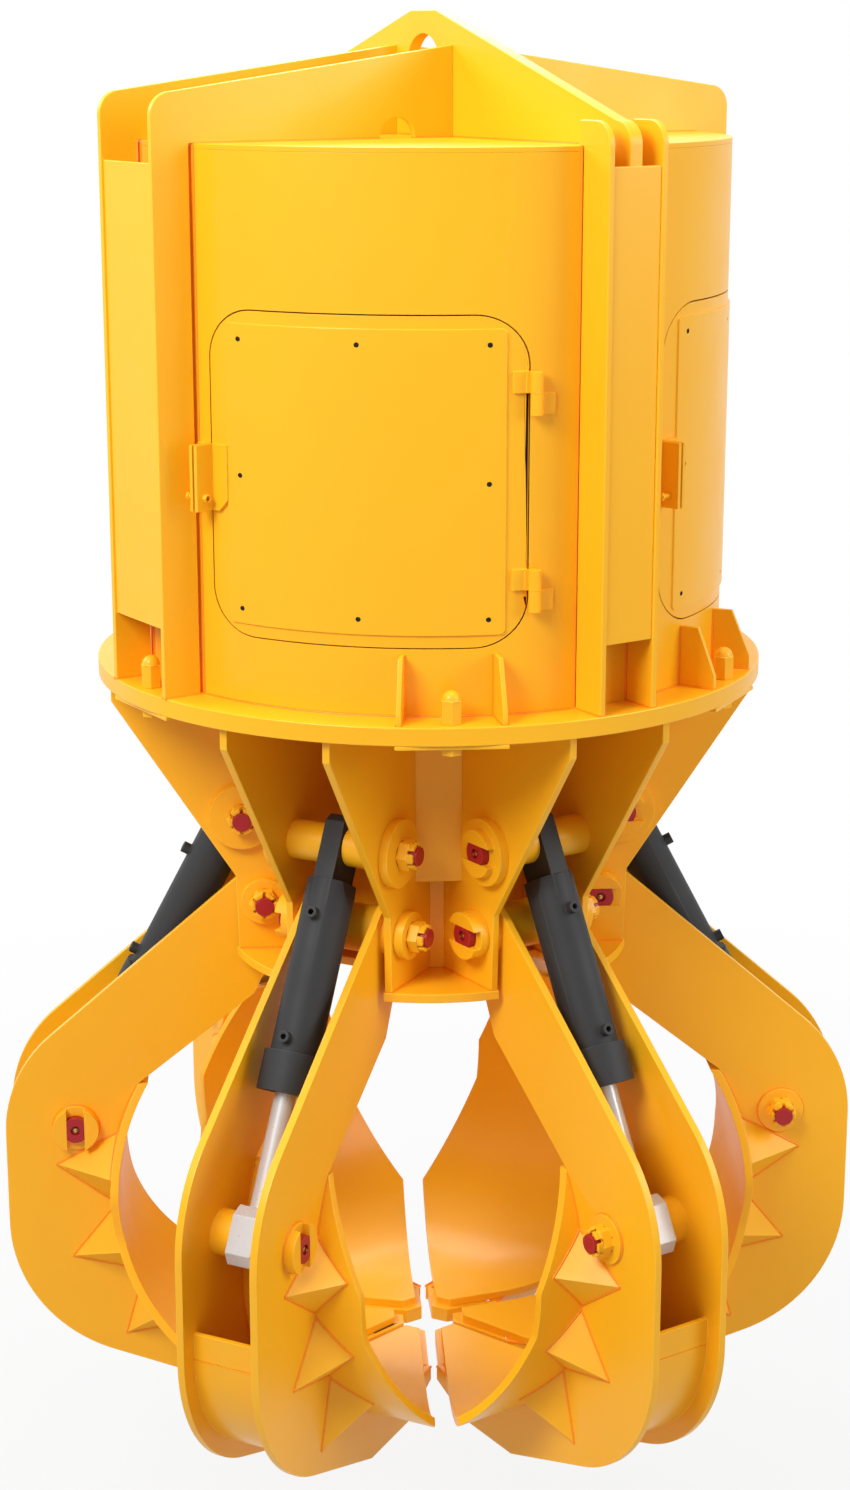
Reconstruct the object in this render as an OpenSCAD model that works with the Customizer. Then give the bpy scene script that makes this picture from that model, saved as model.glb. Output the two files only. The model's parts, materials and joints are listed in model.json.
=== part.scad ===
// Six-claw electro-hydraulic grapple that hangs from a lifting eye.
// Millimetres, +Z up. The origin is the centre of the lifting eye, whose axis runs along X.
// Azimuth 0 points along -Y and grows anticlockwise seen from above.

/* [Lifting eye and fins] */
// Radius of the lifting eye
eye_r = 70; // [60:1:80]
// Height of the eye's centre above the flange disc
eye_height = 1480; // [1460:1:1520]
// Steel over the top of the eye
eye_crown = 56; // [40:1:70]
// Half length of the flat top over the eye
crown_half = 55; // [45:1:65]
// Thickness of the lifting plate
lifting_t = 35; // [30:1:45]
// Height of the lifting plate's outer end above the flange disc
lifting_end_height = 1362; // [1340:1:1375]
// Depth of the lifting plate's ends below the lid
lifting_tail = 220; // [150:1:400]
// Thickness of each fin plate
fin_t = 15; // [12:1:18]
// Height of the fin plates at the middle, above the flange disc
fin_crest_height = 1526; // [1505:1:1540]
// Height of the fin plates at their outer shoulder, above the flange disc
fin_shoulder_height = 1422; // [1400:1:1435]
// Radius of the rounded shoulders
fin_corner_r = 55; // [40:1:60]
// Depth of the fin plates outside the drum
fin_depth = 98; // [90:1:104]
// Offset of the main fin plates from the lifting plate's middle
main_fin_offset = 76; // [68:1:82]
// Offset of the cross fin plates from the middle
cross_fin_offset = 126; // [118:1:130]
// Radius of the arched pass-through at the foot of a fin plate
fin_arch_r = 50; // [35:1:58]
// Length of a main fin plate's foot on the lid
main_fin_lap = 16; // [10:1:30]
// Place of the arch in the cross fins
cross_arch_reach = 180; // [140:1:300]
// Thickness of the outer closure plates
closure_t = 6; // [5:1:8]
// Height of the foot of a closure plate above the flange disc
closure_foot = 168; // [150:1:220]
// Height of the top of a closure plate above the flange disc
closure_top = 1262; // [1200:1:1300]

/* [Drum and lid] */
// Outer radius of the drum
drum_r = 754; // [745:1:758]
// Wall of the drum
drum_t = 10; // [9:1:12]
// Height of the drum with its lid
drum_height = 1305; // [1295:1:1315]
// Thickness of the lid
lid_t = 12; // [10:1:16]

/* [Doors] */
// Room along the drum's wall between a cross fin and the nearest door
latch_room = 44.8; // [44:0.1:52]
// Half angle that a door covers
door_half_angle = 30.2; // [29.8:0.1:30.4]
// Height of the foot of a door above the flange disc
door_foot = 165; // [160:1:180]
// Height of the top of a door above the flange disc
door_top = 933; // [900:1:1000]
// Corner radius of a door
door_corner_r = 115; // [90:1:130]
// Thickness of a door
door_t = 8; // [6:1:9]
// Gap round a door
door_gap = 3; // [2:0.5:4]
// Half angle that the bolted cover on a door spans
cover_half_angle = 26.1; // [25:0.1:26.5]
// Distance of the cover's edge from the door's foot and top
cover_inset = 30; // [25:1:40]
// Thickness of the cover
cover_t = 5; // [4:1:8]
// Corner radius of the cover
cover_corner_r = 12; // [6:1:20]
// Radius of a screw hole in the cover
cover_hole_r = 6; // [4:0.5:8]
// Distance of the screw holes from the cover's edge
cover_hole_inset = 36; // [28:1:45]

/* [Door hinges] */
// Angle from a door's middle to its hinge pin
hinge_angle = 31.2; // [31:0.1:31.4]
// Distance of a hinge pin from the drum's wall
hinge_stand = 18; // [18:0.5:20]
// Outer radius of a hinge knuckle
knuckle_r = 15; // [12:0.5:16]
// Height of one knuckle
knuckle_h = 50; // [40:1:60]
// Radius of a hinge pin
hinge_pin_r = 8; // [6:0.5:9]
// Length of a hinge leaf
leaf_l = 36; // [30:1:40]
// Thickness of a hinge leaf
leaf_t = 7; // [5:0.5:8]
// Height of the lower hinge's joint above the flange disc
lower_hinge_height = 297; // [290:1:330]
// Height of the upper hinge's joint above the flange disc
upper_hinge_height = 756; // [700:1:790]

/* [Door latches] */
// Radial length of a latch ear
ear_l = 62; // [55:1:70]
// Height of a latch bracket
ear_h = 158; // [140:1:170]
// Thickness of a latch bracket
ear_t = 10; // [8:1:10]
// Gap between the two ears
ear_gap = 6; // [5:0.5:7]
// Height of the foot of a latch bracket above the flange disc
ear_foot = 459; // [440:1:480]
// Length of the bracket's foot on the drum
drum_foot_l = 36; // [30:1:37]
// Length of the bracket's foot on the door
door_foot_l = 55; // [45:1:58]
// Radius of a latch bolt
latch_bolt_r = 6; // [5:0.5:6]
// Height of the latch bolt above the bracket's foot
latch_bolt_rise = 31; // [25:1:40]
// Distance of the latch bolt from the drum's wall
latch_bolt_stand = 36; // [28:1:42]

/* [Flange] */
// Width of the flange disc outside the drum
flange_rim = 106; // [105:1:120]
// Thickness of the flange disc
flange_t = 45; // [40:1:50]
// Distance of the flange bolts from the drum's wall
bolt_stand = 64; // [58:1:68]
// Radius of a flange bolt
flange_bolt_r = 15; // [14:0.5:16]
// Angle of a gusset from its bolt
gusset_angle = 8.4; // [8:0.1:9]
// Height of a flange gusset
gusset_h = 150; // [120:1:155]
// Width of a flange gusset at its top
gusset_top_w = 50; // [35:1:60]
// Width of a flange gusset at its foot
gusset_foot_w = 98; // [90:1:102]
// Height of a gusset's upright outer end
gusset_end_h = 35; // [25:1:45]
// Thickness of a flange gusset
gusset_t = 12; // [10:1:15]

/* [Hub] */
// Offset of the bracket plates from a claw's middle
bracket_offset = 139; // [138:1:141]
// Thickness of the bracket plates
bracket_t = 20; // [18:1:20]
// Distance of the brackets' outer ends from the flange disc's edge
bracket_inset = 36; // [20:1:44]
// Height of a bracket's upright outer end
bracket_end_h = 56; // [45:1:70]
// Reach of a bracket at its waist
waist_reach = 514; // [510:1:520]
// Depth of the waist below the flange disc's top
waist_drop = 576; // [565:1:590]
// Reach of a bracket at its foot
bracket_foot_reach = 508; // [500:1:509]
// Depth of the floor plate's top below the flange disc's top
hub_drop = 775; // [770:1:790]
// Thickness of the floor plate
hub_floor_t = 24; // [20:1:28]
// Radius of the floor plate between the claws
hub_floor_r = 531; // [530:1:536]
// Reach of the notch in the floor plate behind a claw
floor_notch_reach = 315; // [305:1:325]
// Outer radius of the core tube
core_r = 286; // [280:1:287]
// Wall of the core tube
core_t = 18; // [14:1:24]
// Reach of the web plates between brackets
web_reach = 402; // [390:1:415]
// Depth of the web plates' foot below the flange disc's top
web_drop = 520; // [500:1:540]
// Thickness of the web plates
web_t = 16; // [12:1:20]
// Reach of the narrow plates that close the core
strip_reach = 332; // [325:1:340]
// Half width of the pads under the flange bolts
pad_half = 134; // [120:1:140]
// Thickness of the pads
pad_t = 10; // [8:1:12]
// Distance of the pads' ends from the flange disc's edge
pad_inset = 8; // [4:1:14]

/* [Linkage] */
// Number of claws
claw_count = 6; // [6:1:6]
// Reach of the cylinder pin
cylinder_pin_reach = 495; // [493:1:498]
// Depth of the cylinder pin below the flange disc's top
cylinder_pin_drop = 410; // [405:1:415]
// Reach of the claw's hinge pin
hinge_reach = 440; // [436:1:442]
// Depth of the claw's hinge pin below the flange disc's top
hinge_drop = 640; // [635:1:645]
// Distance of the rod pin from a closed claw's outer edge
rod_pin_inset = 188; // [182:1:193]
// Depth of the rod pin below the flange disc's top
rod_pin_drop = 1285; // [1280:1:1292]
// Radius of every linkage pin
pin_r = 35; // [32:0.5:36]
// Radius of the bosses at the cylinder pins
upper_boss_r = 86; // [78:1:90]
// Radius of the bosses at the claw hinge pins
lower_boss_r = 61; // [57:1:64]
// Thickness of the hub bosses
hub_boss_t = 25; // [20:1:26]
// Thickness of a slotted keeper collar
keeper_t = 20; // [16:1:21]
// Width across the flats of a pin's keyed end
pin_flat = 46; // [40:1:48]
// Radius of the nipple seat in a pin's keyed end
nipple_seat_r = 13; // [10:0.5:15]
// Depth of the nipple seat
nipple_seat_depth = 10; // [6:1:14]
// Width across the flats of a castle nut
nut_flat = 70; // [64:1:71]
// Height of a castle nut's hexagon
nut_h = 28; // [24:1:30]
// Height of a castle nut's crown
crown_h = 14; // [10:1:15]
// Width of a castle nut's slot
crown_slot = 9; // [7:0.5:11]
// Radius of a pin's threaded end
thread_r = 24; // [22:0.5:26]
// Length of thread that stands out of a nut
thread_out = 6; // [3:0.5:6]

/* [Claws] */
// Offset of the side plates from a claw's middle
cheek_offset = 103; // [101:1:104]
// Thickness of the side plates
cheek_t = 20; // [18:1:20]
// Radius of a claw's hinge end
claw_end_r = 84; // [80:1:92]
// Greatest reach of a claw when closed
claw_reach = 1143; // [1135:1:1155]
// Radius of the claw's shoulder curve
shoulder_r = 360; // [340:1:370]
// Depth of the shoulder curve's centre below the flange disc's top
shoulder_drop = 1300; // [1285:1:1310]
// Radius of the claw's heel curve
heel_r = 410; // [400:1:425]
// Depth of the heel curve's centre below the flange disc's top
heel_drop = 1560; // [1550:1:1575]
// Angle where the heel curve runs out
heel_angle = 70; // [68:1:72]
// Reach of the heel's lowest point
heel_reach = 560; // [540:1:590]
// Reach where the side plates start to rise to the tip
toe_reach = 350; // [330:1:380]
// Reach of the bend in a side plate's inner edge
inner_bend_reach = 470; // [460:1:480]
// Depth of that bend below the flange disc's top
inner_bend_drop = 915; // [905:1:925]
// Distance of the shell's inner face from a closed claw's outer edge
claw_depth = 303; // [293:1:313]
// Inner radius of the shell's curve
shell_r = 510; // [495:1:520]
// Depth of the shell curve's centre below the flange disc's top
shell_drop = 1440; // [1430:1:1450]
// Thickness of the shell
shell_t = 22; // [18:1:24]
// Depth of the shell's upper end below the flange disc's top
shell_top_drop = 1165; // [1160:1:1180]
// Half width of the shell's upper end
shell_top_half = 114; // [113:1:120]
// Half width of the shell at its wings
wing_half = 243; // [235:1:250]
// Depth where the wings reach full width
wing_top_drop = 1440; // [1420:1:1450]
// Depth where the wings start to flare
wing_flare_drop = 1560; // [1545:1:1575]
// Reach of the shell's widest corners
corner_reach = 655; // [640:1:670]
// Half gap between neighbouring shells
shell_half_gap = 30; // [26:1:34]
// Angle at which the shell rises to its tip
tip_rise = 9; // [7:0.5:10]
// Reach of the shell's tip
shell_tip_reach = 96; // [90:1:110]
// Thickness of the tip block
tip_t = 40; // [34:1:46]
// Reach of the tip block's end
tip_reach = 70; // [64:1:78]
// Reach of the tip block's back
tip_back_reach = 210; // [200:1:220]
// Half gap between neighbouring tip blocks
tip_half_gap = 14; // [11:1:18]
// Thickness of the back plate
back_t = 15; // [12:1:18]
// Inset of the back plate from the side plates' edges
back_inset = 46; // [38:1:52]
// Depth of the back plate's top below the flange disc's top
back_top_drop = 1497; // [1480:1:1515]
// Gussets along each side of the shell
gusset_count = 3; // [2:1:3]
// Angle on the shell's curve where the first gusset starts
gusset_start = 15.5; // [12:0.5:16]
// Angle on the shell's curve that one gusset spans
gusset_span = 23; // [20:0.5:23.5]
// Distance of a gusset's outer point from the shell
gusset_out = 150; // [130:1:156]
// Width of a gusset under the wing
gusset_wing = 106; // [90:1:110]
// Radius of the bosses at the rod pin
claw_boss_r = 62; // [56:1:66]
// Thickness of the bosses at the rod pin
claw_boss_t = 9; // [7:1:14]

/* [Cylinders] */
// Outer radius of the barrel
barrel_r = 62.5; // [60:0.5:65]
// Bore radius of the barrel
barrel_bore_r = 50; // [48:0.5:52]
// Distance from the cylinder pin to the gland
gland_start = 532; // [520:1:540]
// Length of the gland collar
gland_l = 100; // [90:1:105]
// Radius of the gland collar
gland_r = 76; // [72:1:80]
// Radius of the rod
rod_r = 28; // [25:0.5:30]
// Half thickness of the barrel's eye
tongue_half = 27; // [25:1:32]
// Half thickness of the ledge where the eye leaves the barrel
ledge_half = 48; // [45:1:52]
// Half width of the barrel's eye
tongue_half_w = 58; // [54:1:60]
// Length of the eye beyond its pin
tongue_end = 70; // [64:1:76]
// Chamfer on the eye's end
tongue_chamfer = 20; // [14:1:24]
// Distance from the cylinder pin to the full barrel
shoulder_start = 95; // [90:1:100]
// Length of the slanted shoulders
shoulder_l = 60; // [50:1:70]
// Distance from the cylinder pin to the first port
first_port = 187; // [180:1:195]
// Distance from the cylinder pin to the second port
second_port = 500; // [490:1:508]
// Radius of a port stub
port_r = 15; // [12:1:17]
// Length of a port stub
port_l = 20; // [16:1:26]
// Radius of a port's hole
port_hole_r = 7; // [5:0.5:9]
// Half length of the rod-end block
rod_block_half = 73; // [71:1:76]
// Half width of the rod-end block
rod_block_half_w = 72; // [71:1:75]
// Half thickness of the rod-end block
rod_block_half_t = 35; // [30:1:38]
// Chamfer on the rod-end block's corners
rod_block_chamfer = 26; // [22:1:30]
// Play of the rod-end eye round its pin
rod_eye_play = 18.5; // [18.2:0.1:19]
// Outer radius of the spacer tubes on the cylinder pins
hub_spacer_r = 50; // [46:1:54]
// Outer radius of the spacer tubes on the rod pins
claw_spacer_r = 57; // [56:1:60]
// Piston length
piston_l = 50; // [40:1:60]

/* [Power unit] */
// Radius of the oil tank
tank_r = 430; // [380:1:450]
// Height of the oil tank
tank_h = 360; // [300:1:400]
// Radius of the motor
motor_r = 190; // [170:1:210]
// Height of the motor
motor_h = 520; // [460:1:560]
// Radius of the coupling housing
coupling_r = 130; // [110:1:150]
// Height of the coupling housing
coupling_h = 150; // [120:1:170]
// Thickness of the housing's flanges
coupling_flange_t = 18; // [14:1:24]
// Width of the valve block
valve_w = 180; // [140:1:200]
// Height of the valve block
valve_h = 140; // [100:1:160]
// Distance of the valve block from the axis
valve_reach = 310; // [290:1:320]

/* [Clearances] */
// Radial play of a running pin
run_play = 0.08; // [0.05:0.01:0.1]
// Radial play of a fixed pin or bolt
set_play = 0.1; // [0.05:0.05:0.2]
// Play between a pad and the flange disc above it
face_play = 0.05; // [0.05:0.01:0.1]
// Side play between moving flat faces
side_play = 1; // [0.5:0.1:1.5]
// Play between a knuckle and its mate
knuckle_play = 0.3; // [0.2:0.1:0.5]
// Radial play of the piston and the rod
slide_play = 0.3; // [0.2:0.1:0.4]

/* [Hidden] */
$fn = 64;
// Overrun of every cut past the solid
over = 5;

// Colours
paint = [1.0, 0.74, 0.10];
black = [0.09, 0.09, 0.09];
chrome = [0.80, 0.81, 0.83];
red = [0.60, 0.08, 0.10];
grey = [0.42, 0.45, 0.47];
cover_paint = [1.0, 0.78, 0.16];

// Levels
flange_top = -eye_height;
flange_foot = flange_top - flange_t;
lid_top = flange_top + drum_height;
wall_top = lid_top - lid_t;
hub_foot = flange_top - hub_drop;
sector = 360 / claw_count;
half_sector = sector / 2;
quarter = 90;
half_turn = 180;
door_count = 4;
crest_z = flange_top + fin_crest_height;
shoulder_z = flange_top + fin_shoulder_height;
lifting_end_z = flange_top + lifting_end_height;
drum_inner_r = drum_r - drum_t;
fin_reach = drum_r + fin_depth;
flange_r = drum_r + flange_rim;
bolt_circle_r = drum_r + bolt_stand;
bracket_reach = flange_r - bracket_inset;
door_turn = asin((cross_fin_offset + fin_t / 2) / drum_r) + latch_room / drum_r * half_turn / PI;
door_azimuth = door_turn + door_half_angle - quarter;

// Linkage points in a claw's own plane: reach and height
rod_pin_reach = claw_reach - rod_pin_inset;
cylinder_pin = [cylinder_pin_reach, flange_top - cylinder_pin_drop];
hinge_pin = [hinge_reach, flange_top - hinge_drop];
rod_pin = [rod_pin_reach, flange_top - rod_pin_drop];
cylinder_run = rod_pin - cylinder_pin;
cylinder_l = norm(cylinder_run);
cylinder_tilt = atan2(cylinder_run[0], -cylinder_run[1]);

// Claw curves
shoulder_c = [claw_reach - shoulder_r, flange_top - shoulder_drop];
heel_c = [claw_reach - heel_r, flange_top - heel_drop];
shell_c = [claw_reach - claw_depth - shell_r, flange_top - shell_drop];
shell_out_r = shell_r + shell_t;
shell_floor = shell_c[1] - shell_r;
cheek_inner = cheek_offset - cheek_t / 2;
cheek_outer = cheek_offset + cheek_t / 2;
bracket_inner = bracket_offset - bracket_t / 2;
bracket_outer = bracket_offset + bracket_t / 2;
heel_run_out = heel_c + heel_r * [cos(heel_angle), -sin(heel_angle)];
heel_low = [heel_reach, heel_run_out[1] - (heel_run_out[0] - heel_reach) / tan(heel_angle)];
shell_top_z = flange_top - shell_top_drop;
shell_top_out = [shell_c[0] + sqrt(pow(shell_out_r, 2) - pow(shell_top_z - shell_c[1], 2)), shell_top_z];
inner_bend = [inner_bend_reach, flange_top - inner_bend_drop];
tip_floor = shell_floor - shell_t;
wing_slope = tan(half_sector);
corner_half = corner_reach * wing_slope - shell_half_gap / cos(half_sector);
corner_z = shell_c[1] - sqrt(pow(shell_out_r, 2) - pow(corner_reach - shell_c[0], 2));
deep = claw_reach + shell_out_r;

// Point where a line from outside touches a circle, on the side that the sign gives
function tangent_point(centre, r, from, side) =
    let (run = from - centre, d = norm(run), base = atan2(run[1], run[0]), turn = side * acos(r / d))
    centre + r * [cos(base + turn), sin(base + turn)];

// Height of the rising tip at a reach and a depth below its inner face
function rise_z(reach, down) =
    shell_c[1] - (shell_r + down) / cos(tip_rise) + (shell_c[0] - reach) * tan(tip_rise);

// Turns children so that their +X points outward at an azimuth
module at_azimuth(a) {
    rotate([0, 0, a - quarter]) children();
}

module each_claw() {
    for (i = [0 : claw_count - 1]) at_azimuth(i * sector) children();
}

module each_gap() {
    for (i = [0 : claw_count - 1]) at_azimuth(half_sector + i * sector) children();
}

module each_door() {
    for (i = [0 : door_count - 1]) at_azimuth(door_azimuth + i * quarter) children();
}

// Upright plate in a radial plane, from a profile in reach and height
module upright(offset, t) {
    translate([0, offset + t / 2, 0]) rotate([quarter, 0, 0]) linear_extrude(t) children();
}

// Round bar along the tangent, from y0 to y1
module cross_bar(r, at, y0, y1) {
    translate([at[0], y0, at[1]]) rotate([-quarter, 0, 0]) cylinder(r = r, h = y1 - y0);
}

// Hexagonal bar along the tangent, by its width across flats
module cross_hex(flat, at, y0, y1) {
    translate([at[0], y0, at[1]]) rotate([-quarter, 0, 0])
        cylinder(r = flat / 2 / cos(half_sector), h = y1 - y0, $fn = 6);
}

module ring(outer, inner, z0, z1) {
    translate([0, 0, z0]) difference() {
        cylinder(r = outer, h = z1 - z0, $fn = 128);
        translate([0, 0, -over]) cylinder(r = inner, h = z1 - z0 + 2 * over, $fn = 128);
    }
}

// Flat rectangle with round corners, centred
module round_rect(w, h, r) {
    square([w - 2 * r, h], center = true);
    square([w, h - 2 * r], center = true);
    for (sx = [-1, 1], sy = [-1, 1]) translate([sx * (w / 2 - r), sy * (h / 2 - r)]) circle(r);
}

// Straight prism that looks outward along +X, from a profile in tangent and height
module outward(l) {
    rotate([quarter, 0, quarter]) linear_extrude(l) children();
}

// Outline of both halves from the points of the right half, bottom to top or top to bottom
function both_halves(right) =
    concat(right, [for (i = [len(right) - 1 : -1 : 0]) [-right[i][0], right[i][1]]]);

// Lifting plate: flat crown, two slopes and rounded outer ends that hang down outside the drum
module lifting_profile() {
    crown_z = eye_r + eye_crown;
    end = fin_reach - closure_t - over;
    corner = [end - fin_corner_r, lifting_end_z - fin_corner_r];
    difference() {
        polygon(both_halves([
            [crown_half, crown_z], [corner[0], lifting_end_z], [end, lifting_end_z],
            [end, lid_top - lifting_tail], [drum_r, lid_top - lifting_tail], [drum_r, lid_top]
        ]));
        for (side = [0, 1]) mirror([side, 0]) translate(corner) difference() {
            square(fin_corner_r + over);
            circle(fin_corner_r);
        }
        circle(eye_r);
    }
}

module lifting_plate() {
    color(paint) at_azimuth(0) upright(0, lifting_t) lifting_profile();
}

// One fin plate: a sloping top on the lid and a tail down the drum to the flange
module fin_profile(root) {
    shoulder = fin_reach - fin_corner_r;
    slope = (crest_z - shoulder_z) / shoulder;
    difference() {
        union() {
            polygon([
                [root, lid_top], [root, crest_z - slope * root], [shoulder, shoulder_z],
                [fin_reach, shoulder_z - fin_corner_r], [fin_reach, flange_top],
                [drum_r, flange_top], [drum_r, lid_top]
            ]);
            translate([shoulder, shoulder_z - fin_corner_r]) circle(fin_corner_r);
        }
        translate([cross_arch_reach, lid_top]) circle(fin_arch_r);
    }
}

// Main fin plates: tails down the drum with a short rounded end that stands on the lid's rim
module main_fins() {
    shoulder = [fin_reach - fin_corner_r, lifting_end_z - fin_corner_r];
    color(paint) for (a = [0, 2 * quarter], side = [-1, 1])
        at_azimuth(a) upright(side * main_fin_offset, fin_t) difference() {
            polygon([
                [drum_r - main_fin_lap, lid_top], [drum_r - main_fin_lap, lifting_end_z],
                [fin_reach, lifting_end_z], [fin_reach, flange_top], [drum_r, flange_top], [drum_r, lid_top]
            ]);
            translate(shoulder) difference() {
                square(fin_corner_r + over);
                circle(fin_corner_r);
            }
        }
}

module cross_fins() {
    root = lifting_t / 2;
    color(paint) for (a = [-quarter, quarter], side = [-1, 1])
        at_azimuth(a) upright(side * cross_fin_offset, fin_t) fin_profile(root);
}

// Outer plates that close the space between a pair of fin plates
module fin_closures() {
    color(paint) for (i = [0 : door_count - 1]) at_azimuth(i * quarter) {
        inner = (i % 2 == 0 ? main_fin_offset : cross_fin_offset) - fin_t / 2;
        translate([fin_reach - closure_t - over, -inner, flange_top + closure_foot])
            cube([closure_t, 2 * inner, closure_top - closure_foot]);
    }
}

// Outline of a door in tangent and height, grown by a gap
module door_outline(grow) {
    translate([0, flange_top + (door_foot + door_top) / 2])
        round_rect(2 * drum_r * sin(door_half_angle) + 2 * grow, door_top - door_foot + 2 * grow,
                   door_corner_r + grow);
}

module drum_shell() {
    color(paint) difference() {
        ring(drum_r, drum_inner_r, flange_top, wall_top);
        each_door() outward(drum_r + over) door_outline(door_gap);
    }
}

module drum_lid() {
    color(paint) translate([0, 0, wall_top]) cylinder(r = drum_r, h = lid_t, $fn = 128);
}

// Curved plate on the drum's wall, cut from a ring by a block in tangent and height
module wall_patch(t, y0, y1, z0, z1) {
    intersection() {
        ring(drum_r + t, drum_r, z0, z1);
        translate([0, y0, z0 - over]) cube([drum_r + t + over, y1 - y0, z1 - z0 + 2 * over]);
    }
}

// One half of a weld-on hinge: knuckle, web and leaf, on the side that the sign gives
module hinge_half(side, z0, z1) {
    pin_at = drum_r + hinge_stand;
    web_stand = hinge_stand - knuckle_r;
    difference() {
        union() {
            translate([pin_at, 0, z0]) cylinder(r = knuckle_r, h = z1 - z0);
            mirror([0, side < 0 ? 1 : 0, 0]) {
                wall_patch(leaf_t, knuckle_r, knuckle_r + leaf_l, z0, z1);
                translate([drum_r + web_stand, 0, z0]) cube([leaf_t, knuckle_r + leaf_t, z1 - z0]);
            }
        }
        children();
    }
}

// Knuckles on the drum with their pins, and the drum's half of each latch
module door_brackets() {
    pin_at = drum_r + hinge_stand;
    color(paint) each_door() {
        for (h = [lower_hinge_height, upper_hinge_height]) rotate([0, 0, hinge_angle]) {
            split = flange_top + h;
            hinge_half(1, split - knuckle_h, split) {}
            translate([pin_at, 0, split - knuckle_h])
                cylinder(r = hinge_pin_r, h = 2 * knuckle_h - knuckle_play);
        }
        rotate([0, 0, -door_half_angle]) mirror([0, 1, 0]) latch_angle(drum_foot_l);
    }
}

// Latch angle: an ear that stands out from the wall and a foot with one cut corner
module latch_angle(foot_l) {
    face = ear_gap / 2;
    foot_z = flange_top + ear_foot;
    cut = foot_l / 2;
    bolt_at = [drum_r + latch_bolt_stand, foot_z + latch_bolt_rise];
    difference() {
        union() {
            wall_patch(ear_t, face, face + foot_l, foot_z, foot_z + ear_h);
            intersection() {
                translate([0, face, foot_z]) cube([drum_r + ear_l, ear_t, ear_h]);
                ring(drum_r + ear_l, drum_r, foot_z, foot_z + ear_h);
            }
        }
        cross_bar(latch_bolt_r + set_play, bolt_at, -over, face + ear_t + over);
        translate([0, face + foot_l, foot_z]) outward(drum_r + ear_l)
            polygon([[over, -over], [over, cut], [0, cut], [-cut, 0], [-cut, -over]]);
    }
}

// Curved door with its bolted cover, two knuckles and its half of the latch
module door() {
    mid_z = flange_top + (door_foot + door_top) / 2;
    cover_h = door_top - door_foot - 2 * cover_inset;
    cover_half = (drum_r + cover_t) * sin(cover_half_angle);
    hole_y = cover_half - cover_hole_inset;
    hole_z = cover_h / 2 - cover_hole_inset;
    pin_at = drum_r + hinge_stand;
    face = ear_gap / 2;
    bolt_at = [drum_r + latch_bolt_stand, flange_top + ear_foot + latch_bolt_rise];
    color(paint) intersection() {
        ring(drum_r, drum_r - door_t, flange_top + door_foot - over, flange_top + door_top + over);
        outward(drum_r + over) door_outline(0);
    }
    color(cover_paint) difference() {
        intersection() {
            ring(drum_r + cover_t, drum_r, mid_z - cover_h, mid_z + cover_h);
            outward(drum_r + over + cover_t) translate([0, mid_z])
                round_rect(2 * cover_half, cover_h, cover_corner_r);
        }
        for (y = [-1, 0, 1], z = [-1, 0, 1]) if (y != 0 || z != 0)
            translate([0, y * hole_y, mid_z + z * hole_z]) rotate([0, quarter, 0])
                cylinder(r = cover_hole_r, h = drum_r + over + cover_t);
    }
    color(paint) {
        for (h = [lower_hinge_height, upper_hinge_height]) rotate([0, 0, hinge_angle]) {
            foot = flange_top + h + knuckle_play;
            hinge_half(-1, foot, foot + knuckle_h)
                translate([pin_at, 0, foot - over])
                    cylinder(r = hinge_pin_r + run_play, h = knuckle_h - knuckle_play + over);
        }
        rotate([0, 0, -door_half_angle]) {
            latch_angle(door_foot_l);
            difference() {
                cross_hex(3 * latch_bolt_r, bolt_at, face + ear_t, face + ear_t + latch_nut_h);
                cross_bar(latch_bolt_r + set_play, bolt_at, face, face + ear_t + latch_nut_h + over);
            }
        }
    }
}

latch_nut_h = 10;
latch_head_h = 7.5;
latch_tail = 3;
latch_travel = ear_gap / 2 + ear_t + latch_nut_h + latch_tail;

// Latch bolt, backed out until its tip stands between the ears
module latch_bolt() {
    face = ear_gap / 2;
    bolt_at = [drum_r + latch_bolt_stand, flange_top + ear_foot + latch_bolt_rise];
    head_y = -face - ear_t - latch_travel;
    color(paint) rotate([0, 0, -door_half_angle]) {
        cross_bar(latch_bolt_r, bolt_at, head_y, 0);
        cross_hex(3 * latch_bolt_r, bolt_at, head_y - latch_head_h, head_y);
    }
}

// Flange disc with its bolt holes
module flange_disc() {
    color(paint) difference() {
        translate([0, 0, flange_foot]) cylinder(r = flange_r, h = flange_t, $fn = 128);
        each_gap() translate([bolt_circle_r, 0, flange_foot - over])
            cylinder(r = flange_bolt_r + set_play, h = flange_t + 2 * over);
    }
}

module flange_gussets() {
    color(paint) for (i = [0 : claw_count - 1], side = [-1, 1]) if (i % 3 != 1)
        at_azimuth(half_sector + i * sector + side * gusset_angle) difference() {
            upright(0, gusset_t) translate([0, flange_top]) polygon([
                [drum_r - over, 0], [drum_r + gusset_foot_w, 0], [drum_r + gusset_foot_w, gusset_end_h],
                [drum_r + gusset_top_w, gusset_h], [drum_r - over, gusset_h]
            ]);
            translate([0, 0, flange_top - over]) cylinder(r = drum_r, h = gusset_h + 2 * over, $fn = 128);
        }
}

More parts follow.
